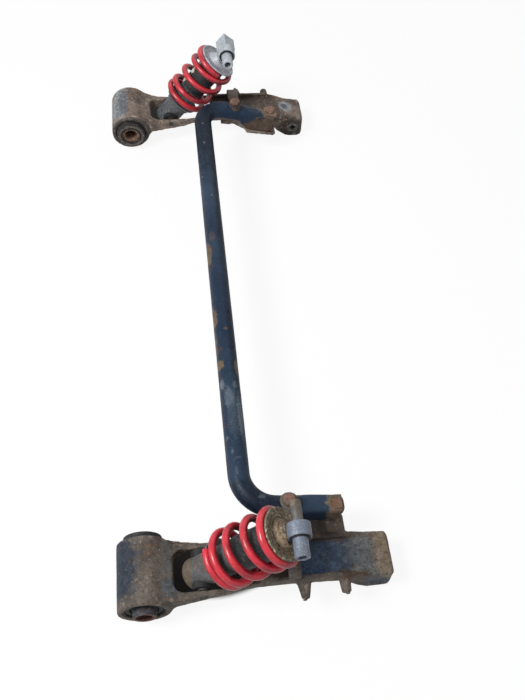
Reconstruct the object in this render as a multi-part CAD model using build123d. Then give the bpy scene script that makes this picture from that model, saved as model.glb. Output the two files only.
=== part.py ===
from build123d import *
from math import cos, pi, radians, sin, sqrt, tan
import os

# Cab support stabiliser: two slotted levers on rubber bushed eyes, joined by one
# U-shaped torsion bar, each lever carrying a spring-over-damper unit.
# Millimetres, +Z up.  +X runs from the eyes to the hubs, Y runs along the torsion bar.
# The two sides are called near (-Y) and far (+Y).

# ---------------------------------------------------------------- driving sizes
lever_spacing = 1000.0      # between the middle planes of the two levers
lever_reach = 343.0         # eye axis to hub bore axis
slide_fit = 0.05            # radial clearance of a piece that turns or slides in another
loose_fit = 0.3             # clearance of pieces that only pass each other

eye_outer_d = 77.0
eye_length = 100.0
eye_bore_d = 61.0
shell_wall = 2.0            # steel shell of the main bush
sleeve_outer_d = 34.0       # steel sleeve in the middle of the main bush
sleeve_bore_d = 25.0
sleeve_length = 114.0
rubber_lip_d = 57.0         # rubber lip at the inner end of the main bush
rubber_lip_stand = 10.0
rubber_groove_depth = 6.0
rubber_groove_d = 42.0

hub_axis_height = 20.0
hub_nose = 21.0             # casting beyond the hub bore axis
hub_outer = 29.0            # hub's outer face, from the lever's middle plane
hub_inner = 33.0            # hub's inner face, from the lever's middle plane
hub_top = 46.0
hub_corner = 9.0            # rounding of the hub seen from above
hub_bush_outer_d = 24.5
hub_bush_bore_d = 16.0
hub_bush_set = 2.0          # how far the bush stays inside the hub's faces
hub_boss_d = 26.0
hub_boss_stand = 3.0
hub_boss_back = 6.0         # boss centre, from the hub bore towards the eye

rail_half_at_eye = 46.0     # half width over the rails, narrowing away from the eye
rail_shoulder = 40.0        # from the eye axis, where the rails start to narrow
rail_half_at_pivot = 40.0
rail_top = 56.0
rail_bottom = 37.0
slot_half = 31.0            # half width of the damper slot
slot_start = 43.0           # from the eye axis
slot_end = 170.0
slot_end_half = 26.0
slot_taper_start = 120.0
slot_corner = 14.0
box_start = 158.0           # from here on the lever is a channel with a web
box_top = 66.5
box_bottom = 46.0
box_half = 32.0
flange_wall = 7.0
web_top = 57.0
web_thickness = 8.0
pocket_gap = 31.0           # from the hub bore axis back to the end of the channel
pocket_corner = 8.0

lug_from_eye = (226.0, lever_reach - 54)
lug_height = (55.0, 51.0)
lug_length = (26.5, 21.5)
lug_root_d = 17.5
lug_root_depth = 3.0        # how far the lugs start inside the flange's face
lug_tip_d = 9.0
lug_stud_d = 6.0
lug_stud_stand = 3.0
lug_stud_depth = 10.0

bar_d = 33.0
bar_from_eye = 146.5        # long run of the torsion bar, from the eye axis
bar_height = 112.0
bar_dip = 12.5              # degrees that the arms fall towards the hubs
bar_arm_inset = 66.0        # arm axis, inwards from the lever's middle plane
bar_bend_r = 50.0
flare_start = 80.0          # along the arm, where the round bar starts to flatten
blade_start = 98.0
blade_gap = 49.0            # from the hub bore axis back to the blade's end
blade_thickness = 24.0
blade_height = 42.0
blade_drop = 8.0            # blade's middle below the arm's axis
blade_shift = 5.0           # blade's middle inwards of the arm's axis
blade_round = 5.0
blade_end_round = 7.0

saddle_start = 187.0
saddle_gap = 44.0           # from the hub bore axis back to the saddle's end
saddle_lip = 83.0           # inner edge of the saddle, from the lever's middle plane
saddle_depth = 56.0         # saddle's underside below the bar's height
saddle_rise = 32.0          # saddle's shoulder above its underside

strap_from_eye = 214.5
strap_width = 18.0
strap_thickness = 11.0
strap_foot_d = 27.0
strap_foot_depth = 6.0      # strap's foot below the bar's crown
strap_foot_stand = 5.0      # and above it
clamp_bolt_d = 12.0
clamp_head_d = 20.0
clamp_head_height = 7.0
clamp_head_slope = 2.5
blade_bolt_gap = 57.0       # from the hub bore axis back to the bolt on the blade
pad_size = 24.0
pad_thickness = 5.0
pad_skirt = 10.0            # the uncut pad reaches this far down and is trimmed to the blade

pivot_from_eye = 84.0
pivot_height = 48.5
near_lean = 45.0            # damper axis above the horizontal at rest, degrees
far_lean = 50.4
pivot_pin_d = 10.0
pivot_sleeve_d = 17.0
pivot_bush_d = 30.0
pivot_bush_gap = 3.0        # from the bush's end to the slot's wall
pivot_sleeve_gap = 0.5      # from the sleeve's end to the slot's wall

tube_d = 46.0
tube_wall = 2.5
tube_foot = 22.0            # tube end below the pivot
tube_top = 92.0             # tube top above the pivot
tube_floor = 20.0           # bottom of the oil space above the pivot
foot_round = 8.0
guide_thickness = 8.0
guide_stand = 3.0
rod_d = 14.0
piston_length = 10.0

seat_width = 11.0           # seat's flange, out from the tube
seat_height = 39.6          # underside of the lower spring seat above the pivot
seat_thickness = 3.0
seat_collar_wall = 3.0
seat_collar_height = 12.0
spring_outer_d = 88.5
wire_d = 11.5
spring_turns = 4.72
closed_pitch = 12.1
closed_turns_low = 0.8      # at the lower seat
closed_turns_high = 0.45    # at the upper plate
easing_turns = 0.25         # between the closed turns and the even pitch
spring_seating = 0.1
near_spring_start = 170.0   # degrees round the damper where the wire begins
far_spring_start = 49.0

plate_height = 157.0        # underside of the upper spring plate above the pivot
plate_d = 76.5
plate_thickness = 3.5
plate_rim = 3.0
plate_dish = 1.5
neck_d = 44.0
neck_top_d = 22.0
eye_above_plate = 27.5      # upper eye axis above the plate's underside
upper_eye_d = 33.5
upper_eye_length = 20.0
upper_eye_side = 5.0        # eye's middle, from the damper's axis towards the near side
upper_bush_d = 28.0
upper_bush_stand = 1.0
upper_sleeve_d = 21.0
upper_sleeve_bore_d = 12.5
upper_sleeve_thin_d = 15.5  # beyond the eye the sleeve is stepped down
upper_sleeve_near = 42.0    # sleeve's ends, from the damper's axis
upper_sleeve_far = 38.0
dust_sleeve_gap = 0.7       # between the tube and the sleeve
dust_sleeve_wall = 1.8
dust_sleeve_bottom = 78.0
bump_stop_d = 34.0
bump_stop_length = 20.0
block_side = 26.0           # squared block on the far damper's eye
block_end = 36.0            # block's far end, from the damper's axis

# ---------------------------------------------------------------- shared places
eye_r = eye_outer_d / 2
eye_x = -(lever_reach + hub_nose - eye_r) / 2
eye_z = eye_r
side_y = lever_spacing / 2
eye_height = plate_height + eye_above_plate
pocket_end = lever_reach - pocket_gap
saddle_end = lever_reach - saddle_gap
saddle_bottom = bar_height - saddle_depth
saddle_shoulder = saddle_bottom + saddle_rise
blade_bolt_from_eye = lever_reach - blade_bolt_gap
blade_length = (lever_reach - blade_gap - bar_from_eye) / cos(radians(bar_dip)) - blade_start


def at(x_from_eye, y, z):
    """A place given from the eye axis along the lever."""
    return Location((eye_x + x_from_eye, y, z))


def across(radius, length, x_from_eye, z, y_middle=0.0):
    """A round bar across the lever, along Y."""
    return at(x_from_eye, y_middle, z) * Rot(X=90) * Cylinder(radius, length)


def block(x_low, x_high, y_low, y_high, z_low, z_high):
    """A plain block, with X from the eye axis."""
    size = (x_high - x_low, y_high - y_low, z_high - z_low)
    return at((x_low + x_high) / 2, (y_low + y_high) / 2, (z_low + z_high) / 2) * Box(*size)


def plan_sheet(points, z_low, z_high):
    """An outline seen from above, X from the eye axis, raised between two heights."""
    face = make_face(Polyline(*points, close=True))
    return at(0, 0, z_low) * extrude(face, z_high - z_low)


def side_sheet(points, y_low, y_high):
    """An outline in X and Z, X from the eye axis, spread between two widths."""
    face = make_face(Polyline(*points, close=True))
    return at(0, y_high, 0) * Rot(X=90) * extrude(face, y_high - y_low)


# ---------------------------------------------------------------- torsion bar
arm_y = side_y - bar_arm_inset
arm_frame = at(bar_from_eye, 0, bar_height) * Rot(Y=bar_dip)
arm_fall = tan(radians(bar_dip))


def arm_axis_z(x_from_eye):
    """Height of the arm's axis at a distance from the eye axis."""
    return bar_height - (x_from_eye - bar_from_eye) * arm_fall


crown_z = arm_axis_z(strap_from_eye) + bar_d / 2 / cos(radians(bar_dip))
blade_crown_z = arm_axis_z(blade_bolt_from_eye) + (blade_height / 2 - blade_drop) / cos(radians(bar_dip))
pad_top_z = blade_crown_z + pad_thickness
blade_y = -bar_arm_inset - blade_shift


def round_slice(along, grow):
    """The arm's round section, as a rounded square, at a distance from the long run."""
    side = bar_d + 2 * grow
    plane = Plane(origin=(along, 0, 0), x_dir=(0, 1, 0), z_dir=(1, 0, 0))
    return plane * RectangleRounded(side, side, side / 2 - 0.05)


def blade_slice(along, grow):
    """The blade's section at a distance from the long run."""
    plane = Plane(origin=(along, -blade_shift, -blade_drop), x_dir=(0, 1, 0), z_dir=(1, 0, 0))
    return plane * RectangleRounded(blade_thickness + 2 * grow, blade_height + 2 * grow, blade_round)


def arm_end(grow, length):
    """Flare and blade of an arm whose lever is on the far side, from the arm's axis."""
    flare = loft([round_slice(flare_start, grow), blade_slice(blade_start, grow)])
    return flare + extrude(blade_slice(blade_start, grow), length)


def torsion_bar():
    """One bent bar: round along its run, drawn into an upright blade at each end."""
    corners = [(flare_start, -arm_y, 0), (0, -arm_y, 0), (0, arm_y, 0), (flare_start, arm_y, 0)]
    path = FilletPolyline(*corners, radius=bar_bend_r)
    start = Plane(origin=corners[0], z_dir=(-1, 0, 0))
    bar = sweep(start * Circle(bar_d / 2), path=path)
    end = arm_end(0, blade_length)
    upright_ends = end.edges().filter_by(Axis.Y).sort_by(Axis.X)[-2:]
    end = Pos(0, arm_y, 0) * fillet(upright_ends, blade_end_round)
    bar = arm_frame * (bar + end + mirror(end, Plane.XZ))
    bolt_places = [(strap_from_eye, arm_y), (blade_bolt_from_eye, side_y + blade_y)]
    for x_from_eye, y in bolt_places:
        hole = at(x_from_eye, y, bar_height) * Cylinder((clamp_bolt_d + loose_fit) / 2, 2 * bar_height)
        bar = bar - hole - mirror(hole, Plane.XZ)
    return bar


# ---------------------------------------------------------------- lever casting
reach = lever_reach + hub_nose


def lever_body():
    """Outline seen from above and from the side, cut into each other."""
    half_plan = [
        (0, rail_half_at_eye), (rail_shoulder, rail_half_at_eye), (pivot_from_eye, rail_half_at_pivot),
        (box_start, box_half),
    ]
    other_half = [(x, -y) for x, y in reversed(half_plan)]
    hub_end = [(saddle_end, box_half - 1), (reach, hub_outer), (reach, -hub_inner)]
    plan = plan_sheet(half_plan + hub_end + other_half, 0, eye_outer_d)
    plan = fillet(plan.edges().filter_by(Axis.Z).group_by(Axis.X)[-1], hub_corner)
    side = side_sheet([
        (0, 14), (24, 14), (slot_start + 2, rail_bottom - 2), (pivot_from_eye, rail_bottom),
        (pivot_from_eye + 29, rail_bottom + 3), (box_start - 27, box_bottom - 1),
        (saddle_start + 18, box_bottom + 1), (saddle_start + 57, box_bottom - 2),
        (lever_reach - 63, 40), (lever_reach - 47, 30), (lever_reach - 33, 14), (lever_reach - 16, 2),
        (lever_reach - 9, 0), (reach, 0), (reach, hub_top), (lever_reach + 7, hub_top + 1),
        (lever_reach - 17, hub_top + 5), (lever_reach - 41, box_top - 6.5), (lever_reach - 61, box_top - 1),
        (saddle_start + 57, box_top), (slot_end + 5, box_top), (box_start - 8, box_top - 4.5),
        (box_start - 26, rail_top), (slot_start + 17, rail_top), (slot_start + 2, rail_top + 3),
        (slot_start - 15, rail_top + 10), (0, rail_top + 14),
    ], -rail_half_at_eye, rail_half_at_eye)
    nose = side.edges().filter_by(Axis.Y).group_by(Axis.X)[-1]
    return plan & fillet(nose, hub_corner)


def damper_slot():
    """The through slot that the damper swings in, rounded at the eye."""
    slot = plan_sheet([
        (slot_start, -slot_half), (slot_taper_start, -slot_half), (slot_end, -slot_end_half),
        (slot_end, slot_end_half), (slot_taper_start, slot_half), (slot_start, slot_half),
    ], -1, eye_outer_d)
    return fillet(slot.edges().filter_by(Axis.Z).group_by(Axis.X)[0], slot_corner)


def bar_saddle():
    """Shelf on the lever's inner side that the arm of the torsion bar lies on."""
    root = -box_half + flange_wall / 2
    plan = plan_sheet([
        (saddle_start, root), (saddle_start, 29 - saddle_lip), (saddle_start + 18, 26 - saddle_lip),
        (saddle_start + 24, 30 - saddle_lip), (saddle_start + 47, 12 - saddle_lip),
        (saddle_start + 51, -saddle_lip), (saddle_end - 5, -saddle_lip), (saddle_end, 5 - saddle_lip),
        (saddle_end, root),
    ], 0, bar_height)
    side = side_sheet([
        (saddle_start, saddle_bottom), (saddle_start + 51, saddle_bottom - 2),
        (saddle_end, saddle_bottom - 12), (saddle_end, saddle_bottom + 2),
        (saddle_start + 63, saddle_bottom + 12), (saddle_start + 41, saddle_bottom + 18),
        (saddle_start + 21, saddle_shoulder), (saddle_start + 6, saddle_shoulder),
        (saddle_start, saddle_shoulder - 8),
    ], -saddle_lip - 1, root + 1)
    return plan & side


def bar_clearance():
    """The room that the arm takes in the saddle, as seen from one lever."""
    run = Pos(flare_start / 2, 0, 0) * Rot(Y=90) * Cylinder(bar_d / 2 + slide_fit, flare_start)
    room = run + arm_end(slide_fit, blade_length + blade_start)
    return at(bar_from_eye, -bar_arm_inset, bar_height) * Rot(Y=bar_dip) * room


def lever_lug(index):
    """Tapered lug on the lever's outer flange."""
    length = lug_length[index]
    cone = Rot(X=-90) * Pos(0, 0, length / 2) * Cone(lug_root_d / 2, lug_tip_d / 2, length)
    return at(lug_from_eye[index], box_half - lug_root_depth, lug_height[index]) * cone


def stud_across(index, length, stand):
    """A round bar on a lug's axis that ends so far beyond the lug's tip."""
    tip_y = box_half - lug_root_depth + lug_length[index] + stand
    return across(lug_stud_d / 2, length, lug_from_eye[index], lug_height[index], tip_y - length / 2)


def lever():
    """The whole casting, with its outer side towards +Y."""
    casting = lever_body() - damper_slot()
    pocket_half = box_half - flange_wall
    web_bottom = web_top - web_thickness
    upper = block(slot_end - 1, pocket_end, -pocket_half, pocket_half, web_top, eye_outer_d)
    upper = fillet(upper.edges().filter_by(Axis.Z).group_by(Axis.X)[-1], pocket_corner)
    lower = block(slot_end + 6, pocket_end - 12, -pocket_half, pocket_half, -1, web_bottom)
    lower = fillet(lower.edges().filter_by(Axis.Z), pocket_corner)
    casting = casting - upper - lower
    casting = casting + across(eye_r, eye_length, 0, eye_z)
    casting = casting + (bar_saddle() - bar_clearance())
    boss = at(lever_reach - hub_boss_back, 0, hub_top) * Cylinder(hub_boss_d / 2, 2 * hub_boss_stand)
    casting = casting + boss + lever_lug(0) + lever_lug(1)
    casting = casting - across(eye_bore_d / 2, 2 * eye_length, 0, eye_z)
    casting = casting - across(hub_bush_outer_d / 2, 8 * hub_outer, lever_reach, hub_axis_height)
    casting = casting - across(pivot_pin_d / 2, 2 * eye_length, pivot_from_eye, pivot_height)
    casting = casting - at(blade_bolt_from_eye, blade_y, bar_height) * Cylinder(clamp_bolt_d / 2, 3 * bar_height)
    for index in (0, 1):
        casting = casting - stud_across(index, lug_stud_depth + lug_stud_stand, lug_stud_stand)
    return casting


def lug_studs():
    """Threaded studs in the ends of the two lugs."""
    length = lug_stud_depth + lug_stud_stand
    return Compound(children=[stud_across(index, length, lug_stud_stand) for index in (0, 1)])


# ---------------------------------------------------------------- main bush
def eye_shell():
    """Steel shell pressed into the eye."""
    return (across(eye_bore_d / 2, eye_length - 4, 0, eye_z)
            - across(eye_bore_d / 2 - shell_wall, 2 * eye_length, 0, eye_z))


def eye_rubber():
    """Rubber between shell and sleeve, grooved at its ends, with a lip at the inner end."""
    outer = eye_bore_d / 2 - shell_wall
    rubber = across(outer, eye_length - 8, 0, eye_z)
    lip_end = -(eye_length / 2 + rubber_lip_stand)
    lip_length = -lip_end - eye_length / 2 + 4
    rubber = rubber + across(rubber_lip_d / 2, lip_length, 0, eye_z, lip_end + lip_length / 2)
    bore = across(sleeve_outer_d / 2 + slide_fit, 2 * sleeve_length, 0, eye_z)
    for y_end in (lip_end, eye_length / 2 - 4):
        ring = (across(rubber_groove_d / 2, 2 * rubber_groove_depth, 0, eye_z, y_end)
                - across(sleeve_outer_d / 2 + 1.5, 3 * rubber_groove_depth, 0, eye_z, y_end))
        rubber = rubber - ring
    return rubber - bore


def eye_sleeve():
    """Steel sleeve that the mounting bolt passes through."""
    return (across(sleeve_outer_d / 2, sleeve_length, 0, eye_z)
            - across(sleeve_bore_d / 2, 2 * sleeve_length, 0, eye_z))


def hub_bush():
    """Steel bush pressed into the hub."""
    return (across(hub_bush_outer_d / 2, hub_outer + hub_inner - 2 * hub_bush_set, lever_reach, hub_axis_height,
                   (hub_outer - hub_inner) / 2)
            - across(hub_bush_bore_d / 2, 8 * hub_outer, lever_reach, hub_axis_height))


# ---------------------------------------------------------------- bar clamp
def bar_strap():
    """Bridge from the crown of the bar over the channel to the outer flange."""
    foot_low = crown_z - strap_foot_depth
    foot_high = crown_z + strap_foot_stand
    foot = at(strap_from_eye, -bar_arm_inset, (foot_low + foot_high) / 2) * Cylinder(
        strap_foot_d / 2, foot_high - foot_low)
    toe_low = box_top + slide_fit
    outline = [
        (-bar_arm_inset, foot_high), (-bar_arm_inset, foot_high - strap_thickness),
        (26 - bar_arm_inset, foot_high - strap_thickness - 4), (box_half - 16, toe_low + 6),
        (box_half - 12, toe_low), (box_half, toe_low), (box_half, toe_low + 5),
        (box_half - 6, toe_low + 13), (box_half - 14, toe_low + 19), (30 - bar_arm_inset, foot_high - 3),
    ]
    plane = Plane(origin=(eye_x + strap_from_eye - strap_width / 2, 0, 0), x_dir=(0, 1, 0), z_dir=(1, 0, 0))
    web = extrude(plane * make_face(Polyline(*outline, close=True)), strap_width)
    bar_room = at(bar_from_eye, -bar_arm_inset, bar_height) * Rot(Y=bar_dip) * Rot(Y=90) * Cylinder(
        bar_d / 2 + slide_fit, 4 * flare_start)
    hole = at(strap_from_eye, -bar_arm_inset, crown_z) * Cylinder(clamp_bolt_d / 2, 8 * strap_thickness)
    return foot + web - bar_room - hole


def clamp_bolt(along, y, seat_z, low_z):
    """A round-headed bolt standing upright through the arm into the saddle."""
    head = at(along, y, seat_z + clamp_head_height / 2) * Cylinder(clamp_head_d / 2, clamp_head_height)
    head = chamfer(head.edges().group_by(Axis.Z)[-1], clamp_head_slope)
    return head + at(along, y, (low_z + seat_z) / 2) * Cylinder(clamp_bolt_d / 2, seat_z - low_z)


def clamp_bolts():
    """Both bolts of one arm."""
    first = clamp_bolt(strap_from_eye, -bar_arm_inset, crown_z + strap_foot_stand, crown_z - bar_d + 1)
    second = clamp_bolt(blade_bolt_from_eye, blade_y, pad_top_z, box_bottom)
    return Compound(children=[first, second])


def clamp_pad():
    """Square pad under the head of the bolt on the blade."""
    pad = block(blade_bolt_from_eye - pad_size / 2, blade_bolt_from_eye + pad_size / 2,
                blade_y - pad_size / 2, blade_y + pad_size / 2,
                blade_crown_z - pad_skirt, pad_top_z)
    room = at(bar_from_eye, blade_y, bar_height) * Rot(Y=bar_dip) * Pos(blade_start, 0, -blade_drop) * Box(
        3 * blade_length, 2 * pad_size, blade_height + 2 * slide_fit)
    return pad - room - at(blade_bolt_from_eye, blade_y, blade_crown_z) * Cylinder(
        clamp_bolt_d / 2, 20 * pad_thickness)


# ---------------------------------------------------------------- damper, along its own axis
# Built upright with the pivot at the origin, then leaned towards the hub.
def ring(outer_d, inner_d, low, high):
    """A ring or tube along the damper's axis."""
    shape = Pos(0, 0, (low + high) / 2) * Cylinder(outer_d / 2, high - low)
    if inner_d:
        shape = shape - Pos(0, 0, (low + high) / 2) * Cylinder(inner_d / 2, 2 * (high - low))
    return shape


def cross(diameter, length, height, y_middle=0.0):
    """A round bar across the damper, along Y."""
    return Pos(0, y_middle, height) * Rot(X=90) * Cylinder(diameter / 2, length)


def damper_tube():
    """Tube with a closed foot that is bored across for the pivot bush."""
    body = ring(tube_d, 0, -tube_foot, tube_top)
    body = fillet(body.edges().group_by(Axis.Z)[0], foot_round)
    return (body - ring(tube_d - 2 * tube_wall, 0, tube_floor, tube_top + 1)
            - cross(pivot_bush_d, 2 * tube_d, 0))


def pivot_bush():
    """Rubber bush in the damper's foot, standing out to both rails."""
    length = 2 * (slot_half - pivot_bush_gap)
    return cross(pivot_bush_d, length, 0) - cross(pivot_sleeve_d, 2 * length, 0)


def pivot_sleeve():
    """Steel sleeve that turns on the pivot pin."""
    length = 2 * (slot_half - pivot_sleeve_gap)
    return cross(pivot_sleeve_d, length, 0) - cross(pivot_pin_d + 2 * slide_fit, 2 * length, 0)


def pivot_pin():
    """Pin pressed through both rails, flush with their outer faces."""
    return across(pivot_pin_d / 2, 2 * rail_half_at_pivot - 1, pivot_from_eye, pivot_height)


def rod_guide():
    """Guide and seal that close the tube's top."""
    body = ring(tube_d - 2 * tube_wall, 0, tube_top - guide_thickness, tube_top)
    cap = ring(tube_d, 0, tube_top, tube_top + guide_stand)
    cap = chamfer(cap.edges().group_by(Axis.Z)[-1], 1.5)
    return body + cap - ring(rod_d + 2 * slide_fit, 0, 0, 2 * tube_top)


def lower_seat():
    """Pressed seat for the spring, with a collar on the tube."""
    seat = ring(tube_d + 2 * seat_width, tube_d, seat_height, seat_height + seat_thickness)
    collar = ring(tube_d + 2 * seat_collar_wall, tube_d, seat_height - seat_collar_height, seat_height)
    return seat + collar


wire_rise = plate_height - seat_height - seat_thickness - 2 * spring_seating - wire_d
slow_turns = closed_turns_low + closed_turns_high + easing_turns
even_pitch = (wire_rise - closed_pitch * slow_turns) / (spring_turns - slow_turns)


def end_rise(turn, closed_turns):
    """Rise from one end of the wire after so many turns: closed, easing, then at the even pitch."""
    easing = min(max(turn - closed_turns, 0), easing_turns)
    rise = closed_pitch * (min(turn, closed_turns) + easing)
    rise += (even_pitch - closed_pitch) * easing ** 2 / (2 * easing_turns)
    return rise + even_pitch * max(turn - closed_turns - easing_turns, 0)


def wire_height(turn):
    """Height of the wire's centre above its lower end after so many turns."""
    if turn > spring_turns / 2:
        return wire_rise - end_rise(spring_turns - turn, closed_turns_high)
    return end_rise(turn, closed_turns_low)


def spring():
    """Coil spring as one tube, a little closed at both ends."""
    coil_r = (spring_outer_d - wire_d) / 2
    low = seat_height + seat_thickness + spring_seating + wire_d / 2
    turns = spring_turns

    def point(turn):
        angle = 2 * pi * turn
        return Vector(coil_r * cos(angle), coil_r * sin(angle), low + wire_height(turn))

    def heading(turn):
        step = 1e-4
        return (point(turn + step) - point(turn - step)).normalized()

    quarter_turns = round(turns * 4)
    stops = [turns * i / quarter_turns for i in range(quarter_turns + 1)]
    edges = []
    for begin, finish in zip(stops, stops[1:]):
        p0, p1 = point(begin), point(finish)
        t0, t1 = heading(begin), heading(finish)
        gap = p1 - p0
        total = t0 + t1
        a = 2 * (1 - t0.dot(t1))
        b = 2 * gap.dot(total)
        reach = (-b + sqrt(b * b + 4 * a * gap.dot(gap))) / (2 * a)
        middle = (p0 + t0 * reach + p1 - t1 * reach) * 0.5
        turning = ((p1 - t1 * reach) - (p0 + t0 * reach)).normalized()
        edges.append(TangentArc(p0, middle, tangent=t0))
        edges.append(TangentArc(middle, p1, tangent=turning))
    path = Wire(edges)
    start = Plane(origin=point(0), z_dir=heading(0))
    samples = [(turns * i / 400, point(turns * i / 400)) for i in range(401)]
    least = min((p - q).length for t, p in samples for s, q in samples if s - t > 0.5) - wire_d
    print("spring", round(turns, 2), "turns, least gap to itself", round(least, 2))
    return sweep(start * Circle(wire_d / 2), path=path)


def dust_sleeve():
    """Plastic sleeve that hangs from the upper plate over the tube."""
    inner_d = tube_d + 2 * dust_sleeve_gap
    return ring(inner_d + 2 * dust_sleeve_wall, inner_d, dust_sleeve_bottom, plate_height)


def bump_stop():
    """Rubber stop round the rod, waisted."""
    high = plate_height
    low = plate_height - bump_stop_length
    outline = Polyline(
        (rod_d / 2, low), (bump_stop_d / 2 - 5, low), (bump_stop_d / 2 - 2, low + 4),
        (bump_stop_d / 2 - 4, low + 9), (bump_stop_d / 2, low + 14), (bump_stop_d / 2, high),
        (rod_d / 2, high), close=True)
    return revolve(Plane.XZ * make_face(outline), Axis.Z)


def rod():
    """Polished rod, from the piston to the upper plate's neck."""
    return ring(rod_d, 0, tube_top - guide_thickness - piston_length - 4, plate_height + plate_thickness)


def piston():
    """Piston ring on the rod, inside the tube."""
    top = tube_top - guide_thickness - 2
    return ring(tube_d - 2 * tube_wall - 2 * slide_fit, rod_d, top - piston_length, top)


def upper_plate():
    """Dished spring plate with a neck that rises to the eye."""
    r = plate_d / 2
    high = plate_height + plate_thickness
    outline = Polyline(
        (0, plate_height), (r, plate_height), (r, high), (r - plate_rim, high),
        (r - plate_rim - 3, high - plate_dish), (0, high - plate_dish), close=True)
    body = revolve(Plane.XZ * make_face(outline), Axis.Z)
    neck_top = eye_height - upper_eye_d / 4
    neck = loft([
        Plane(origin=(0, 0, high - plate_dish)) * Circle(neck_d / 2),
        Plane(origin=(0, -upper_eye_side, neck_top)) * Circle(neck_top_d / 2),
    ])
    body = body + neck - ring(rod_d, 0, 0, plate_height + plate_thickness)
    return body - cross(upper_eye_d, 6 * upper_eye_length, eye_height)


def upper_eye(squared):
    """Eye across the damper's top; the far one has a squared block behind it."""
    eye = cross(upper_eye_d, upper_eye_length, eye_height, -upper_eye_side)
    if squared:
        start = upper_eye_length / 2 - upper_eye_side - 1
        length = block_end - start
        square = Pos(0, start + length / 2, eye_height) * Box(block_side, length, block_side)
        eye = eye + (square - cross(upper_sleeve_d + 1, 4 * block_end, eye_height))
    bore_length = upper_eye_length + 2 * upper_bush_stand
    return eye - cross(upper_bush_d, bore_length, eye_height, -upper_eye_side)


def upper_bush():
    """Rubber in the upper eye."""
    length = upper_eye_length + 2 * upper_bush_stand
    return (cross(upper_bush_d, length, eye_height, -upper_eye_side)
            - cross(upper_sleeve_d + 2 * slide_fit, 2 * length, eye_height, -upper_eye_side))


def upper_sleeve():
    """Steel sleeve through the upper eye, stepped down behind it."""
    step = upper_bush_stand + upper_eye_length / 2 - upper_eye_side
    front = cross(upper_sleeve_d, upper_sleeve_near + step, eye_height, (step - upper_sleeve_near) / 2)
    back = cross(upper_sleeve_thin_d, upper_sleeve_far, eye_height, upper_sleeve_far / 2)
    return front + back - cross(upper_sleeve_bore_d, 4 * upper_sleeve_near, eye_height)


# ---------------------------------------------------------------- the two sides
def on_side(shape, side):
    """A lever piece, built with its outer side towards +Y, on one side."""
    placed = Pos(0, side_y, 0) * shape
    return mirror(placed, Plane.XZ) if side == "near" else placed


def leaned(shape, side):
    """A damper piece at its rest angle on one side."""
    lean = near_lean if side == "near" else far_lean
    y = -side_y if side == "near" else side_y
    return at(pivot_from_eye, y, pivot_height) * Rot(Y=90 - lean) * shape


lever_pieces = {
    "lever": lever,
    "lug_studs": lug_studs,
    "eye_shell": eye_shell,
    "eye_rubber": eye_rubber,
    "eye_sleeve": eye_sleeve,
    "hub_bush": hub_bush,
    "bar_strap": bar_strap,
    "clamp_bolts": clamp_bolts,
    "clamp_pad": clamp_pad,
    "pivot_pin": pivot_pin,
}
damper_pieces = {
    "damper_tube": damper_tube,
    "pivot_bush": pivot_bush,
    "pivot_sleeve": pivot_sleeve,
    "lower_seat": lower_seat,
    "rod_guide": rod_guide,
    "spring": spring,
    "dust_sleeve": dust_sleeve,
    "bump_stop": bump_stop,
    "rod": rod,
    "piston": piston,
    "upper_plate": upper_plate,
    "upper_bush": upper_bush,
    "upper_sleeve": upper_sleeve,
}

os.makedirs("parts", exist_ok=True)
export_step(torsion_bar(), "parts/torsion_bar.step")
for name, make in lever_pieces.items():
    shape = make()
    for side in ("near", "far"):
        export_step(on_side(shape, side), f"parts/{side}_{name}.step")
for name, make in damper_pieces.items():
    shape = make()
    for side in ("near", "far"):
        turned = Rot(Z=near_spring_start if side == "near" else far_spring_start) * shape
        placed = leaned(turned if name == "spring" else shape, side)
        export_step(placed, f"parts/{side}_{name}.step")
for side in ("near", "far"):
    export_step(leaned(upper_eye(side == "far"), side), f"parts/{side}_upper_eye.step")
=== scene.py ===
"""Looks of a cab suspension stabiliser with two spring dampers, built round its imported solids."""

import logging
import math
from dataclasses import dataclass, replace
from enum import Enum
from typing import Callable

import bmesh
import bpy
from mathutils import Euler, Matrix, Vector

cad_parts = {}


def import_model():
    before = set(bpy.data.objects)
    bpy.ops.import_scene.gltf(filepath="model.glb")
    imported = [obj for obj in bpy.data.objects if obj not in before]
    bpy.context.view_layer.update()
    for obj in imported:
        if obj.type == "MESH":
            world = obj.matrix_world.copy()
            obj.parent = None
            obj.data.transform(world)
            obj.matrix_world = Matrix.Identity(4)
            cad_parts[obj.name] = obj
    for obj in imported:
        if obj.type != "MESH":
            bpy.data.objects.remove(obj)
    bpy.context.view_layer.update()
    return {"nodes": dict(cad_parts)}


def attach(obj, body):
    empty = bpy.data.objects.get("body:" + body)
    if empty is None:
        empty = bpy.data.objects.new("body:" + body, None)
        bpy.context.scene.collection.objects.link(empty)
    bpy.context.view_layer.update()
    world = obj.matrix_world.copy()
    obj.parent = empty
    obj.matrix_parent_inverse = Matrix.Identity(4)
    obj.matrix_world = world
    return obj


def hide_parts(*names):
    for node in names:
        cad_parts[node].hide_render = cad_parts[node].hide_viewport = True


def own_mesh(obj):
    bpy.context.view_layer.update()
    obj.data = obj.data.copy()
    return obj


log = logging.getLogger("stabiliser")

Colour = tuple[float, float, float]
Point = tuple[float, float, float]
Shaping = Callable[[bmesh.types.BMesh], None]

# ------------------------------------------------ places shared by the pieces, in metres
EYE_X = -0.16275
EYE_Z = 0.0385
SIDE_Y = 0.5
PIVOT_FROM_EYE = 0.084
PIVOT_Z = 0.0485
HUB_FROM_EYE = 0.343
HUB_Z = 0.020
ACROSS = (math.radians(90.0), 0.0, 0.0)  # turns a pattern's axis along the eyes and hubs
TINY = 1e-6  # points closer than this are one


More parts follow.
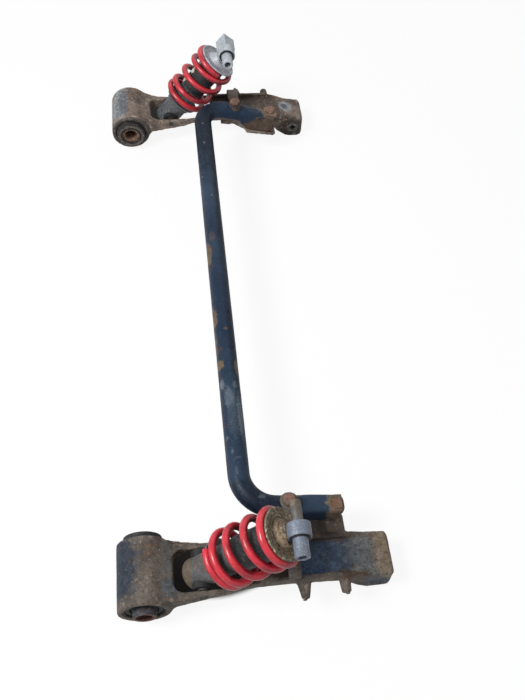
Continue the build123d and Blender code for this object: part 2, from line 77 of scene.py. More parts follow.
class Side(Enum):
    """The two levers, with the sign of their place along the torsion bar."""

    NEAR = -1
    FAR = 1

    @property
    def label(self) -> str:
        """The word that the solids of this side begin with."""
        return self.name.lower()

    @property
    def lean(self) -> float:
        """Angle of the damper's axis above the floor, in radians."""
        return math.radians(45.0 if self is Side.NEAR else 50.4)

    @property
    def along(self) -> Vector:
        """Direction of the damper's axis, from its pivot to its top."""
        return Vector((math.cos(self.lean), 0.0, math.sin(self.lean)))

    @property
    def outwards(self) -> Matrix:
        """Turns a shape that stands upright until it points away from the other lever."""
        return Matrix.Rotation(math.radians(-90.0 * self.value), 4, "X")


def place(side: Side, from_eye: float, outward: float, height: float) -> Point:
    """A point beside a lever, by how far it is from the eye axis, out from the middle plane and above the floor."""
    return (EYE_X + from_eye, side.value * (SIDE_Y + outward), height)


def dimmed(colour: Colour, share: float) -> Colour:
    """A colour made darker or lighter by a factor, at most white."""
    return tuple(min(1.0, c * share) for c in colour)


# ------------------------------------------------ material building
class NodeSheet:
    """One material's node tree, with short ways to add what the finishes need."""

    edge_pull = 2.4  # how far noise moves the edge of a ragged patch
    edge_inset = 1.2  # how far that edge is drawn in to make up for it
    pale_step = 0.004  # what the pale grain within a patch gains at least
    fleck_level = 0.66  # noise above this is a fleck
    fleck_drop = 0.12  # how much lower the level is for many flecks
    fleck_edge = 0.05
    fleck_offset = (0.13, 0.29, 0.07)

    def __init__(self, name: str) -> None:
        """Starts an empty principled material.

        Args:
            name: the material's name.
        """
        self.material = bpy.data.materials.new(name)
        self.material.use_nodes = True
        self.tree = self.material.node_tree
        self.shader = self.tree.nodes["Principled BSDF"]
        self.place = self.node("TexCoord").outputs["Object"]

    def node(self, kind: str, inputs: dict | None = None, **settings: object) -> bpy.types.Node:
        """A node with its settings.

        Args:
            kind: the shader node's type.
            inputs: what goes into its sockets, by their name or number.
            settings: attributes to set on it.

        Returns:
            The node.
        """
        made = self.tree.nodes.new(f"ShaderNode{kind}")
        for key, value in settings.items():
            setattr(made, key, value)
        for key, value in (inputs or {}).items():
            self.feed(made.inputs[key], value)
        return made

    def feed(self, socket: bpy.types.NodeSocket, value: object) -> None:
        """Links a socket to an output, or sets it to a plain value."""
        if isinstance(value, bpy.types.NodeSocket):
            self.tree.links.new(value, socket)
        elif isinstance(value, tuple) and len(value) == 3 and socket.type == "RGBA":
            socket.default_value = (*value, 1.0)
        else:
            socket.default_value = value

    def moved(self, offset: Point, stretch: Point = (1.0, 1.0, 1.0), turn: Point = (0.0, 0.0, 0.0)) -> object:
        """Object coordinates seen from another point, turned by angles in radians and stretched."""
        shift = self.node("VectorMath", {0: self.place, 1: offset}, operation="SUBTRACT")
        inputs = {"Vector": shift.outputs[0], "Rotation": turn, "Scale": stretch}
        return self.node("Mapping", inputs).outputs[0]

    def length(self, vector: object) -> object:
        """Length of a vector."""
        return self.node("VectorMath", {0: vector}, operation="LENGTH").outputs["Value"]

    def reach(self, centre: Point, size: Point) -> object:
        """How far a point is from a place, as 1 at the edge of an ellipsoid of that size."""
        return self.length(self.moved(centre, tuple(1.0 / s for s in size)))

    def noise(self, scale: float, detail: float, rough: float, bend: float = 0.0, vector: object = None) -> object:
        """A cloudy value between 0 and 1, centred on 0.5."""
        inputs = {"Vector": vector or self.place, "Scale": scale, "Detail": detail, "Roughness": rough,
                  "Distortion": bend}
        return self.node("TexNoise", inputs).outputs["Fac"]

    def cells(self, scale: float, vector: object) -> object:
        """Distance to the nearest of many scattered points."""
        return self.node("TexVoronoi", {"Vector": vector, "Scale": scale}).outputs["Distance"]

    def cavity(self, distance: float) -> object:
        """1 in the open, less in corners."""
        inputs = {"Distance": distance}
        return self.node("AmbientOcclusion", inputs, samples=6, only_local=True).outputs["AO"]

    def between(self, value: object, low: float, high: float, start: float = 0.0, end: float = 1.0) -> object:
        """Maps a value's range smoothly onto another one, clamped."""
        inputs = {"Value": value, "From Min": low, "From Max": high, "To Min": start, "To Max": end}
        return self.node("MapRange", inputs, interpolation_type="SMOOTHSTEP").outputs["Result"]

    def combined(self, operation: str, first: object, second: object) -> object:
        """Arithmetic on two values, clamped between 0 and 1."""
        return self.node("Math", {0: first, 1: second}, operation=operation, use_clamp=True).outputs[0]

    def scaled(self, value: object, factor: float, added: object) -> object:
        """A value times a factor, plus another value."""
        return self.node("Math", {0: value, 1: factor, 2: added}, operation="MULTIPLY_ADD").outputs[0]

    def mix(self, share: object, first: object, second: object) -> object:
        """One colour laid over another."""
        return self.node("Mix", {0: share, 6: first, 7: second}, data_type="RGBA").outputs[2]

    def lay(self, colour: object, over: object, value: object, low: float, high: float, start: float = 0.0,
            end: float = 1.0) -> object:
        """Lays a colour over another one, covering more or less of it as a value goes from low to high."""
        return self.mix(self.between(value, low, high, start, end), colour, over)

    def patched(self, colour: object, patches: tuple["Patch", ...], lift: float = 1.9) -> object:
        """Lays ragged patches over a colour.

        Args:
            colour: what lies below them.
            patches: the places that differ.
            lift: how much paler the grain within a patch gets.

        Returns:
            The colour with its patches.
        """
        fine = self.noise(110, 5, 0.7)
        for patch in patches:
            ragged = self.noise(patch.grain, 6, 0.74, 0.4)
            shifted = self.scaled(ragged, -self.edge_pull * patch.ragged, self.reach(patch.centre, patch.size))
            edge = 1.0 - self.edge_inset * patch.ragged
            pale = tuple(min(1.0, c * lift + self.pale_step) for c in patch.colour)
            tone = self.lay(patch.colour, pale, fine, 0.42, 0.7)
            colour = self.lay(colour, tone, shifted, edge - patch.soft, edge + patch.soft, patch.share, 0.0)
        return colour

    def flecked(self, colour: object, fleck: Colour, scale: float, share: float, amount: float) -> object:
        """Scatters small flecks.

        Args:
            colour: what lies below them.
            fleck: their colour.
            scale: how fine they are.
            share: how strongly they cover.
            amount: 0 for few of them, 1 for many.

        Returns:
            The flecked colour.
        """
        low = self.fleck_level - self.fleck_drop * amount
        spots = self.noise(scale, 4, 0.72, 0.2, self.moved(self.fleck_offset))
        return self.lay(colour, fleck, spots, low, low + self.fleck_edge, 0.0, share)

    def finish(self, colour: object, rough: object, metal: object = 0.0, height: object = None,
               depth: float = 0.0005, strength: float = 0.4, specular: float = 0.5) -> bpy.types.Material:
        """Feeds the shader.

        Args:
            colour: base colour, a socket or a constant.
            rough: roughness, a socket or a constant.
            metal: metallic, a socket or a constant.
            height: relief, or None.
            depth: real height of the relief in metres.
            strength: how strongly the relief shows.
            specular: level of the plain reflection.

        Returns:
            The finished material.
        """
        inputs = {"Specular IOR Level": specular, "Base Color": colour, "Roughness": rough, "Metallic": metal}
        if height is not None:
            relief = {"Strength": strength, "Distance": depth, "Height": height}
            inputs["Normal"] = self.node("Bump", relief).outputs["Normal"]
        for key, value in inputs.items():
            self.feed(self.shader.inputs[key], value)
        return self.material


@dataclass(frozen=True)
class Patch:
    """A place where a surface differs, as an ellipsoid with a ragged edge."""

    centre: Point
    size: Point
    colour: Colour
    share: float
    ragged: float
    grain: float
    soft: float = 0.12


@dataclass(frozen=True)
class RustyCasting:
    """Brown-grey rusted cast iron with remains of dark paint, and grime with painted shade in its hollows."""

    name: str
    middle: Colour = (0.105, 0.087, 0.072)
    dark: Colour = (0.036, 0.029, 0.024)
    light: Colour = (0.24, 0.2, 0.16)
    rust: Colour = (0.15, 0.08, 0.047)
    # near-black grime and painted shade laid in the hollows
    dirt: Colour = (0.006, 0.005, 0.005)
    fleck: Colour = (0.36, 0.32, 0.26)
    flecks: float = 0.35
    patches: tuple[Patch, ...] = ()
    # reach of the hollows' grime and painted shade, and how open a place is before it is clear of them
    dirt_depth: float = 0.02
    dirt_start: float = 0.85

    def material(self) -> bpy.types.Material:
        """The finish as a material."""
        sheet = NodeSheet(self.name)
        fine = sheet.noise(85, 6, 0.74)
        blotch = sheet.noise(36, 6, 0.68, 0.8, sheet.moved((0.31, 0.17, 0.05)))
        colour = sheet.lay(self.dark, self.middle, sheet.noise(17, 6, 0.66, 0.3), 0.36, 0.58)
        colour = sheet.lay(colour, self.light, fine, 0.5, 0.7, 0.0, 0.9)
        colour = sheet.lay(colour, self.rust, blotch, 0.54, 0.68, 0.0, 0.7)
        colour = sheet.patched(colour, self.patches)
        colour = sheet.flecked(colour, self.fleck, 240.0, 0.75, self.flecks)
        colour = sheet.lay(colour, self.dark, sheet.noise(200, 4, 0.72), 0.38, 0.46, 0.75, 0.0)
        # grime with painted shade: near-black laid where the surface is hemmed in, so corners and hollows go dark
        colour = sheet.lay(colour, self.dirt, sheet.cavity(self.dirt_depth), 0.3, self.dirt_start, 0.92, 0.0)
        relief = sheet.scaled(sheet.noise(420, 3, 0.6), 0.45, fine)
        return sheet.finish(colour, sheet.between(fine, 0.3, 0.7, 0.6, 0.86), 0.0, relief, 0.0014, 0.7, 0.3)


@dataclass(frozen=True)
class WornPaint:
    """Paint on steel with chips, scuffs and rust along one edge."""

    name: str
    paint: Colour = (0.010, 0.021, 0.041)
    faded: Colour = (0.028, 0.047, 0.078)
    fleck: Colour = (0.11, 0.14, 0.17)
    chip: Colour = (0.36, 0.37, 0.38)
    rust: Colour = (0.085, 0.052, 0.034)
    rust_axis: Point = (-0.9, 0.0, 0.3)
    gloss: float = 0.45
    patches: tuple[Patch, ...] = ()

    def rusty(self, sheet: NodeSheet) -> object:
        """Where the paint has rusted, most of all on the side that faces along the rust axis."""
        facing = sheet.node("NewGeometry").outputs["Normal"]
        towards = sheet.node("VectorMath", {0: facing, 1: self.rust_axis}, operation="DOT_PRODUCT")
        side = sheet.between(towards.outputs["Value"], 0.25, 1.0, 0.0, 0.19)
        return sheet.between(sheet.combined("ADD", sheet.noise(38, 7, 0.74, 0.5), side), 0.71, 0.78, 0.0, 0.7)

    def chipped(self, sheet: NodeSheet) -> object:
        """Where small chips sit together."""
        spot = sheet.between(sheet.cells(55, sheet.moved((0.0, 0.0, 0.0), (1.0, 0.55, 1.0))), 0.05, 0.115, 1.0, 0.0)
        cluster = sheet.between(sheet.noise(13, 3, 0.6, 0.0, sheet.moved((0.4, 0.2, 0.1))), 0.5, 0.62)
        small = sheet.between(sheet.noise(300, 3, 0.6), 0.52, 0.6)
        return sheet.combined("MULTIPLY", sheet.combined("MULTIPLY", spot, cluster), small)

    def material(self) -> bpy.types.Material:
        """The finish as a material."""
        sheet = NodeSheet(self.name)
        fine = sheet.noise(120, 5, 0.7)
        rusty, chipped = self.rusty(sheet), self.chipped(sheet)
        colour = sheet.lay(self.paint, self.faded, sheet.noise(9, 5, 0.6, 0.2), 0.4, 0.68, 0.0, 0.8)
        colour = sheet.lay(colour, self.faded, fine, 0.5, 0.75, 0.0, 0.35)
        colour = sheet.mix(rusty, colour, sheet.lay(self.rust, dimmed(self.rust, 0.45), fine, 0.4, 0.62))
        colour = sheet.patched(sheet.mix(chipped, colour, self.chip), self.patches, 1.5)
        colour = sheet.flecked(colour, self.fleck, 260.0, 0.45, 0.3)
        rough = sheet.between(sheet.combined("ADD", rusty, chipped), 0.0, 0.8, self.gloss, 0.8)
        height = sheet.combined("SUBTRACT", sheet.between(fine, 0.2, 0.8, 0.4, 0.7), chipped)
        return sheet.finish(colour, rough, 0.0, height, 0.0006, 0.5, 0.12)


@dataclass(frozen=True)
class SpringCoat:
    """Satin red coating on spring wire, with painted shade on the faces that point down and grime that gathers more
    underneath.
    """

    name: str
    coat: Colour = (0.54, 0.022, 0.038)
    # deep red, used for random darker tone and for the painted shade on faces that point down
    deep_tone_and_shade: Colour = (0.15, 0.004, 0.010)
    grime: Colour = (0.04, 0.011, 0.011)
    scratch: Colour = (0.68, 0.22, 0.22)
    grime_share: float = 0.5

    def material(self) -> bpy.types.Material:
        """The finish as a material."""
        sheet = NodeSheet(self.name)
        fine = sheet.noise(220, 4, 0.7)
        facing = sheet.node("NewGeometry").outputs["Normal"]
        upward = sheet.node("SeparateXYZ", {0: facing}).outputs["Z"]
        dusty = sheet.combined("ADD", sheet.noise(60, 6, 0.7, 0.4), sheet.between(upward, 0.15, -0.75, 0.0, 0.22))
        colour = sheet.lay(self.coat, self.deep_tone_and_shade, sheet.noise(30, 4, 0.6), 0.42, 0.66, 0.0, 0.75)
        # painted shade: the wire turns deep red where it faces down
        colour = sheet.lay(colour, self.deep_tone_and_shade, upward, 0.85, -0.15, 0.0, 0.85)
        colour = sheet.lay(colour, self.grime, dusty, 0.6, 0.74, 0.0, self.grime_share)
        colour = sheet.flecked(colour, self.scratch, 330.0, 0.5, 0.4)
        return sheet.finish(colour, sheet.between(fine, 0.35, 0.7, 0.28, 0.4), 0.0, fine, 0.0003, 0.2, 0.45)


@dataclass(frozen=True)
class WornSteel:
    """Bare or thinly coated steel with a little rust and grime, and painted shade in its hollows."""

    name: str
    steel: Colour
    stain: Colour
    stain_share: float
    metal: float
    rough_low: float = 0.38
    rough_high: float = 0.62
    # share of grime and painted shade laid in the hollows
    dirt: float = 0.0
    frost: Colour = (0.3, 0.28, 0.25)
    frost_share: float = 0.0
    specular: float = 0.4
    patches: tuple[Patch, ...] = ()

    def material(self) -> bpy.types.Material:
        """The finish as a material."""
        sheet = NodeSheet(self.name)
        broad = sheet.noise(45, 5, 0.65, 0.4)
        fine = sheet.noise(330, 4, 0.7)
        stained = sheet.between(broad, 0.5, 0.66, 0.0, self.stain_share)
        colour = sheet.lay(self.steel, dimmed(self.steel, 1.35), fine, 0.4, 0.7)
        colour = sheet.mix(stained, colour, self.stain)
        if self.frost_share:
            colour = sheet.flecked(colour, self.frost, 330.0, self.frost_share, 0.9)
            colour = sheet.flecked(colour, dimmed(self.steel, 0.25), 150.0, 0.6, 0.35)
        colour = sheet.patched(colour, self.patches)
        # grime with painted shade: a darkened stain colour laid in corners and hollows
        if self.dirt:
            colour = sheet.lay(colour, dimmed(self.stain, 0.2), sheet.cavity(0.008), 0.3, 0.9, self.dirt, 0.0)
        rough = sheet.between(broad, 0.3, 0.7, self.rough_low, self.rough_high)
        metal = sheet.between(stained, 0.0, self.stain_share, self.metal, 0.0)
        return sheet.finish(colour, rough, metal, fine, 0.0004, 0.3, self.specular)


@dataclass(frozen=True)
class Ring:
    """A band of one colour round an axis, from one radius outwards."""

    start: float
    colour: Colour
    share: float
    soft: float = 0.0006


@dataclass(frozen=True)
class TurnedFace:
    """A face turned round an axis, with bands, fine grooves, flecks and dirt in them."""

    name: str
    centre: Point
    turn: Point
    clean: Colour = (0.13, 0.1, 0.076)
    dirty: Colour = (0.036, 0.029, 0.023)
    fleck: Colour = (0.42, 0.39, 0.31)
    bands: tuple[Ring, ...] = ()
    grooves: float = 570.0
    groove_share: float = 0.35
    rim: float = 0.038
    rough: float = 0.68
    specular: float = 0.3

    def from_axis(self, sheet: NodeSheet) -> object:
        """Distance from the axis."""
        turned = sheet.node("SeparateXYZ", {0: sheet.moved(self.centre, turn=self.turn)}).outputs
        return sheet.length(sheet.node("CombineXYZ", {0: turned[0], 1: turned[1]}).outputs[0])

    def material(self) -> bpy.types.Material:
        """The finish as a material."""
        sheet = NodeSheet(self.name)
        radius = self.from_axis(sheet)
        around = sheet.node("CombineXYZ", {0: radius}).outputs[0]
        groove = sheet.noise(self.grooves, 2, 0.5, 0.0, around)
        colour = sheet.lay(self.dirty, self.clean, sheet.noise(75, 6, 0.74, 0.3), 0.4, 0.6)
        colour = sheet.lay(colour, dimmed(self.clean, 1.8), groove, 0.44, 0.62, 0.0, self.groove_share)
        for band in self.bands:
            worn = sheet.lay(band.colour, dimmed(band.colour, 0.5), sheet.noise(160, 5, 0.72), 0.4, 0.62)
            colour = sheet.lay(colour, worn, radius, band.start - band.soft, band.start + band.soft, 0.0, band.share)
        crowd = sheet.between(radius, self.rim * 0.35, self.rim, 0.0, 0.07)
        flecks = sheet.between(sheet.combined("ADD", sheet.noise(190, 4, 0.74, 0.3), crowd), 0.59, 0.65, 0.0, 0.85)
        colour = sheet.mix(flecks, colour, self.fleck)
        colour = sheet.lay(colour, self.dirty, sheet.noise(240, 4, 0.72), 0.4, 0.47, 0.8, 0.0)
        halves = (sheet.combined("MULTIPLY", value, 0.5) for value in (groove, flecks))
        return sheet.finish(colour, self.rough, 0.0, sheet.combined("ADD", *halves), 0.0009, 0.6, self.specular)


@dataclass(frozen=True)
class AgedRubber:
    """Matt black rubber with a dusty bloom."""

    name: str
    black: Colour = (0.009, 0.009, 0.01)
    bloom: Colour = (0.045, 0.045, 0.046)

    def material(self) -> bpy.types.Material:
        """The finish as a material."""
        sheet = NodeSheet(self.name)
        colour = sheet.lay(self.black, self.bloom, sheet.noise(60, 5, 0.7), 0.45, 0.75, 0.0, 0.8)
        return sheet.finish(colour, 0.72, 0.0, sheet.noise(260, 4, 0.7), 0.0004, 0.3, 0.3)


Finish = RustyCasting | WornPaint | SpringCoat | WornSteel | TurnedFace | AgedRubber


# ------------------------------------------------ shaping helpers
class Workshop:
    """Makes and finishes the new pieces."""

    @staticmethod
    def linked(name: str, data: bpy.types.ID) -> bpy.types.Object:
        """A new object in the scene, at the origin."""
        made = bpy.data.objects.new(name, data)
        bpy.context.scene.collection.objects.link(made)
        return made

    @classmethod
    def piece(cls, made: bmesh.types.BMesh, name: str) -> bpy.types.Object:
        """Turns a bmesh into an object, and frees the bmesh."""
        mesh = bpy.data.meshes.new(name)
        made.to_mesh(mesh)
        made.free()
        return cls.linked(name, mesh)

    @classmethod
    def copy_of(cls, node: str, name: str, shaping: Shaping | None) -> bpy.types.Object:
        """A merged copy of a solid's mesh as a new piece.

        Args:
            node: the solid's name.
            name: the new piece's name.
            shaping: what is done to the copy before it becomes a piece.

        Returns:
            The new object at the origin.
        """
        made = bmesh.new()
        made.from_mesh(bpy.data.objects[node].data)
        bmesh.ops.remove_doubles(made, verts=made.verts, dist=TINY)
        if shaping:
            shaping(made)
        return cls.piece(made, name)

    @staticmethod
    def settle(piece: bpy.types.Object) -> None:
        """Applies all of a piece's modifiers."""
        bpy.context.view_layer.update()
        graph = bpy.context.evaluated_depsgraph_get()
        mesh = bpy.data.meshes.new_from_object(piece.evaluated_get(graph))
        old = piece.data
        piece.modifiers.clear()
        piece.data = mesh
        bpy.data.meshes.remove(old)

    @staticmethod
    def soften(piece: bpy.types.Object, centre: Point, half: Point, passes: int) -> None:
        """Rounds a piece's edges further within a box.

        Args:
            piece: the piece, with an even mesh.
            centre: middle of the box.
            half: half its size.
            passes: how many times the edges are smoothed.
        """
        made = bmesh.new()
        made.from_mesh(piece.data)
        inside = [v for v in made.verts if all(abs(v.co[k] - centre[k]) < half[k] for k in range(3))]
        for _ in range(passes):
            bmesh.ops.smooth_vert(made, verts=inside, factor=0.5, use_axis_x=True, use_axis_y=True, use_axis_z=True)
        made.to_mesh(piece.data)
        made.free()

    @staticmethod
    def dress(piece: bpy.types.Object, material: bpy.types.Material) -> None:
        """Gives a piece one material and reports it."""
        piece.data.materials.clear()
        piece.data.materials.append(material)
        log.info("%s: %d faces", piece.name, len(piece.data.polygons))

    @classmethod
    def fit(cls, piece: bpy.types.Object, finish: Finish, body: str, slot: str, node: str | None = None) -> None:
        """Dresses a piece and sets it on its body.

        Args:
            piece: the finished mesh.
            finish: its finish.
            body: the body that it moves with.
            slot: the material slot that it belongs to; not used.
            node: the solid that it stands for, if any.
        """
        cls.dress(piece, finish.material())
        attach(piece, body)
        if node:
            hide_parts(node)


# ------------------------------------------------ the sub-assemblies
@dataclass(frozen=True)
class Worn:
    """A solid that is shown as it comes out of a mould or a forge, with rounded edges and a rough skin."""

    node: str
    body: str
    finish: Finish
    slot: str
    grain: float = 0.0009  # size of the mesh's faces, in metres
    rounding: int = 4  # how many times the edges are smoothed
    skin: float = 0.0004  # height of the skin's unevenness, in metres
    wave: float = 0.006  # width of the skin's unevenness, in metres
    shaping: Shaping | None = None
    ending: str = "worn"

    def cast(self) -> bpy.types.Object:
        """Makes the piece from a copy of the solid.

        Returns:
            The piece, not yet dressed.
        """
        piece = Workshop.copy_of(self.node, f"{self.node}_{self.ending}", self.shaping)
        remesh = piece.modifiers.new("cast", "REMESH")
        remesh.mode = "VOXEL"
        remesh.voxel_size = self.grain
        remesh.use_smooth_shade = True
        smooth = piece.modifiers.new("round", "SMOOTH")
        smooth.factor = 0.5
        smooth.iterations = self.rounding
        clouds = bpy.data.textures.new(f"{piece.name}_skin", "CLOUDS")
        clouds.noise_scale = self.wave
        clouds.noise_depth = 3
        rough = piece.modifiers.new("skin", "DISPLACE")
        rough.texture = clouds
        rough.texture_coords = "LOCAL"
        rough.strength = self.skin
        rough.mid_level = 0.5
        Workshop.settle(piece)
        for face in piece.data.polygons:
            face.use_smooth = True
        return piece

    def fit(self, piece: bpy.types.Object) -> None:
        """Dresses the piece and sets it on its body in the solid's place."""
        Workshop.fit(piece, self.finish, self.body, self.slot, self.node)


@dataclass
class TorsionBar:
    """The bent bar with its flattened ends."""

    finish: WornPaint
    grain: float = 0.0017
    rounding: int = 4
    skin: float = 0.0003
    wave: float = 0.02
    end: Point = (0.266, -0.062, 0.08)
    end_half: Point = (0.036, 0.03, 0.03)
    end_rounding: tuple[int, int] = (28, 12)
    stretch_start: float = 0.270
    stretch: float = 1.16
    blade_inner: float = -0.417
    widening: tuple[float, float, float] = (0.062, 0.080, 0.24)

    def lengthen(self, made: bmesh.types.BMesh) -> None:
        """Draws the near blade's end out to the edge of its pad, and its outer side towards the rail."""
        start = EYE_X + self.stretch_start
        narrow, wide, share = self.widening
        for vert in made.verts:
            if vert.co.y < 0.0 and vert.co.x > narrow:
                grown = share * min(1.0, (vert.co.x - narrow) / (wide - narrow))
                vert.co.y += (vert.co.y - self.blade_inner) * grown
            if vert.co.x > start and vert.co.y < 0.0:
                vert.co.x = start + (vert.co.x - start) * self.stretch

    def build(self) -> None:
        """Makes the bar."""
        forged = Worn("torsion_bar", "stabiliser", self.finish, "bar_paint", self.grain, self.rounding, self.skin,
                      self.wave, self.lengthen, "forged")
        bar = forged.cast()
        for side, passes in zip(Side, self.end_rounding):
            Workshop.soften(bar, place(side, *self.end), self.end_half, passes)
        forged.fit(bar)


@dataclass(frozen=True)
class Lug:
    """A lug that stands out of a lever's flange and is wider at its root."""

    from_eye: float
    root: float
    tip: float
    length: float
    height: float = 0.053


@dataclass
class Lever:
    """One slotted cast lever with the flared roots of its lugs."""

    side: Side
    finish: RustyCasting
    grain: float = 0.0019
    rounding: int = 3
    skin: float = 0.0009
    wave: float = 0.02
    flange: float = 0.0300
    lugs: tuple[Lug, ...] = (Lug(0.2279, 0.0112, 0.0056, 0.0262), Lug(0.2870, 0.0092, 0.0068, 0.0222))
    lug_sides: int = 24
    hub_start: float = 0.100
    hub_full: float = 0.150
    hub_growth: float = 0.0

    def reshape(self, made: bmesh.types.BMesh) -> None:
        """Widens the hub inwards and sets a cone on the flange at each lug."""
        for vert in made.verts:
            inwards = -self.side.value * vert.co.y + SIDE_Y
            if self.hub_growth and vert.co.x > self.hub_start and inwards > 0.0:
                grown = self.hub_growth * min(1.0, (vert.co.x - self.hub_start) / (self.hub_full - self.hub_start))
                vert.co.y -= self.side.value * inwards * grown
        for lug in self.lugs:
            middle = place(self.side, lug.from_eye, self.flange + lug.length / 2, lug.height)
            bmesh.ops.create_cone(made, cap_ends=True, segments=self.lug_sides, radius1=lug.root, radius2=lug.tip,
                                  depth=lug.length, matrix=Matrix.Translation(middle) @ self.side.outwards)

    def build(self) -> None:
        """Makes the lever."""
        casting = Worn(f"{self.side.label}_lever", "stabiliser", self.finish, "casting", self.grain,
                       self.rounding, self.skin, self.wave, self.reshape, "casting")
        casting.fit(casting.cast())


@dataclass
class SmallForgings:
    """Pads, bolts, straps, top eyes and plates, each with its edges worn round."""

    rows: tuple[Worn, ...]

    def build(self) -> None:
        """Makes each piece in place of its solid."""
        for row in self.rows:
            row.fit(row.cast())


@dataclass(frozen=True)
class BattenedPad:
    """The near pad, hammered low and small, with the bolt's head worn down over it."""

    centre: tuple[float, float] = (0.1215, -0.4305)
    off: tuple[float, float] = (0.0017, 0.0015)
    plan: float = 0.92
    lowered: float = 0.0040
    bolt_reach: float = 0.02
    head_start: float = 0.0966
    head_share: float = 0.16

    def pad(self, made: bmesh.types.BMesh) -> None:
        """Shrinks the pad in plan and lowers it onto the blade."""
        for vert in made.verts:
            vert.co.x = self.centre[0] + (vert.co.x - self.centre[0] - self.off[0]) * self.plan
            vert.co.y = self.centre[1] + (vert.co.y - self.centre[1] - self.off[1]) * self.plan
            vert.co.z -= self.lowered

    def bolts(self, made: bmesh.types.BMesh) -> None:
        """Flattens the head of the bolt through the pad."""
        start = self.head_start - self.lowered
        for vert in made.verts:
            if vert.co.x > self.centre[0] - self.bolt_reach and vert.co.z > start:
                vert.co.z = start + (vert.co.z - start) * self.head_share


@dataclass
class HubFittings:
    """The thick-walled bush in a lever's hub, and the crusted disc over its outer end."""

    side: Side
    bush_finish: TurnedFace
    disc_finish: RustyCasting
    limit: float = 0.0108
    bore: float = 0.0060
    disc_radius: float = 0.0126
    disc_out: float = 0.0268
    disc_depth: float = 0.0022
    disc_sides: int = 48
    disc_round: float = 0.0009

    def narrow(self, made: bmesh.types.BMesh) -> None:
        """Brings the bush's inner wall in to the bore's radius."""
        centre = Vector(place(self.side, HUB_FROM_EYE, 0.0, HUB_Z))
        for vert in made.verts:
            across = Vector((vert.co.x - centre.x, 0.0, vert.co.z - centre.z))
            if TINY < across.length < self.limit:
                across = across.normalized() * self.bore
                vert.co = (centre.x + across.x, vert.co.y, centre.z + across.z)

    def disc(self) -> bmesh.types.BMesh:
        """The disc in its place, with rounded rims."""
        made = bmesh.new()
        spot = Matrix.Translation(place(self.side, HUB_FROM_EYE, self.disc_out, HUB_Z))
        bmesh.ops.create_cone(made, cap_ends=True, segments=self.disc_sides, radius1=self.disc_radius,
                              radius2=self.disc_radius, depth=self.disc_depth, matrix=spot @ self.side.outwards)
        rims = [edge for edge in made.edges
                if {len(face.verts) for face in edge.link_faces} == {4, self.disc_sides}]
        bmesh.ops.bevel(made, geom=rims, offset=self.disc_round, segments=3, profile=0.5, affect="EDGES",
                        material=-1)
        return made

    def build(self) -> None:
        """Makes the bush and the disc."""
        label = self.side.label
        bush = Workshop.copy_of(f"{label}_hub_bush", f"{label}_hub_bush_thick", self.narrow)
        disc = Workshop.piece(self.disc(), f"{label}_hub_disc")
        Workshop.fit(bush, self.bush_finish, "stabiliser", "bush_steel", f"{label}_hub_bush")
        Workshop.fit(disc, self.disc_finish, "stabiliser", "casting")


@dataclass
class CoilSpring:
    """A damper's spring, closed on its lower seat and flat under its upper plate."""

    side: Side
    finish: SpringCoat
    start: float
    coil_radius: float = 0.0385
    wire_radius: float = 0.00575
    seat: float = 0.0427
    ceiling: float = 0.157
    turns: float = 4.5
    closed_pitch: float = 0.0118
    open_pitch: float = 0.033
    opening: tuple[float, float] = (0.9, 1.7)
    settling: tuple[float, float] = (3.78, 4.08)
    steps: int = 64
    sections: int = 20
    stroke: float = 0.034

    @staticmethod
    def eased(turn: float, marks: tuple[float, float]) -> float:
        """How far a turn is between two marks, from 0 to 1 and smooth at both."""
        share = min(max((turn - marks[0]) / (marks[1] - marks[0]), 0.0), 1.0)
        return share * share * (3.0 - 2.0 * share)

    def pitch(self, turn: float) -> float:
        """Rise of the wire for each turn, after so many turns."""
        opened = self.closed_pitch + (self.open_pitch - self.closed_pitch) * self.eased(turn, self.opening)
        return opened * (1.0 - self.eased(turn, self.settling))

    @staticmethod
    def rank(face: bmesh.types.BMFace) -> float:
        """A face's place in the order of its vertices."""
        numbers = [vert.index for vert in face.verts]
        return max(numbers) + min(numbers) / (max(numbers) + 1.0)

    def wire(self) -> bmesh.types.BMesh:
        """Sweeps the wire round the damper's axis, with its faces in the same order each run.

        Returns:
            The spring standing upright on the origin.
        """
        made = bmesh.new()
        centre = Matrix.Translation((self.coil_radius, 0.0, self.wire_radius))
        upright = centre @ Matrix.Rotation(math.pi / 2, 4, "X")
        bmesh.ops.create_circle(made, segments=self.sections, radius=self.wire_radius, matrix=upright)
        first = ring = list(made.edges)
        for step in range(round(self.turns * self.steps)):
            rise = self.pitch((step + 0.5) / self.steps) / self.steps
            swept = bmesh.ops.spin(made, geom=ring, cent=(0.0, 0.0, 0.0), axis=(0.0, 0.0, 1.0),
                                   dvec=(0.0, 0.0, rise), angle=math.tau / self.steps, steps=1)
            ring = [part for part in swept["geom_last"] if isinstance(part, bmesh.types.BMEdge)]
        for face in made.faces:
            face.smooth = True
        for end in (first, ring):
            bmesh.ops.contextual_create(made, geom=end)
        bmesh.ops.recalc_face_normals(made, faces=made.faces)
        made.verts.index_update()
        made.faces.sort(key=self.rank)
        return made

    def build(self) -> None:
        """Makes the spring."""
        label = self.side.label
        foot = Vector(place(self.side, PIVOT_FROM_EYE, 0.0, PIVOT_Z)) + self.side.along * self.seat
        turned = Matrix.Rotation(math.pi / 2 - self.side.lean, 4, "Y") @ Matrix.Rotation(
            math.radians(self.start), 4, "Z")
        made = self.wire()
        bmesh.ops.transform(made, matrix=Matrix.Translation(foot) @ turned, verts=made.verts)
        coil = Workshop.piece(made, f"{label}_spring_wound")
        Workshop.fit(coil, self.finish, f"{label}_damper", "spring_paint", f"{label}_spring")
        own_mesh(coil)


